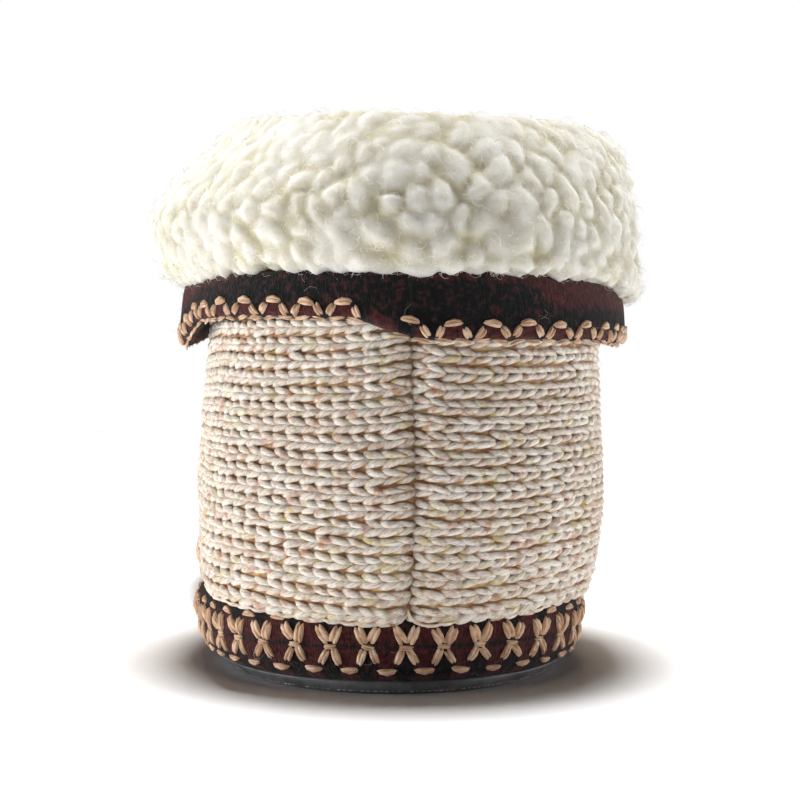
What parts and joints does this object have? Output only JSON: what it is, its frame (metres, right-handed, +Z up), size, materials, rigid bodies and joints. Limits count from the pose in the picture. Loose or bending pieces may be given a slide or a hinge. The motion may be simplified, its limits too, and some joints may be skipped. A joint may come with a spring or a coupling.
{
  "type": "knit slipper bootie",
  "caption": "Closed knit slipper bootie with a turned-down fleece cuff, patterned woven bands and a thin flat sole, left foot.",
  "frame": {"origin": "on the floor, under the middle of the shoe's length and width", "axes": "+Y from heel to toe, +X towards the big-toe side, +Z up"},
  "size_m": [0.1047, 0.2586, 0.1142],
  "materials": {
    "outsole_rubber": "smooth matt, fine tread underneath",
    "footbed_fleece": "short sherpa fleece",
    "woven_band": "wool strip in dark brown and black with tan crossed stitches",
    "knit": "cream yarn with coloured flecks, plain knit laid sideways",
    "fleece": "clumped sherpa fleece"
  },
  "bodies": {
    "root": {"outsole": "outsole_rubber", "insole": "footbed_fleece", "sole_band": "woven_band", "upper": "knit", "fleece_cuff": "fleece", "cuff_band": "woven_band"}
  },
  "joints": []
}
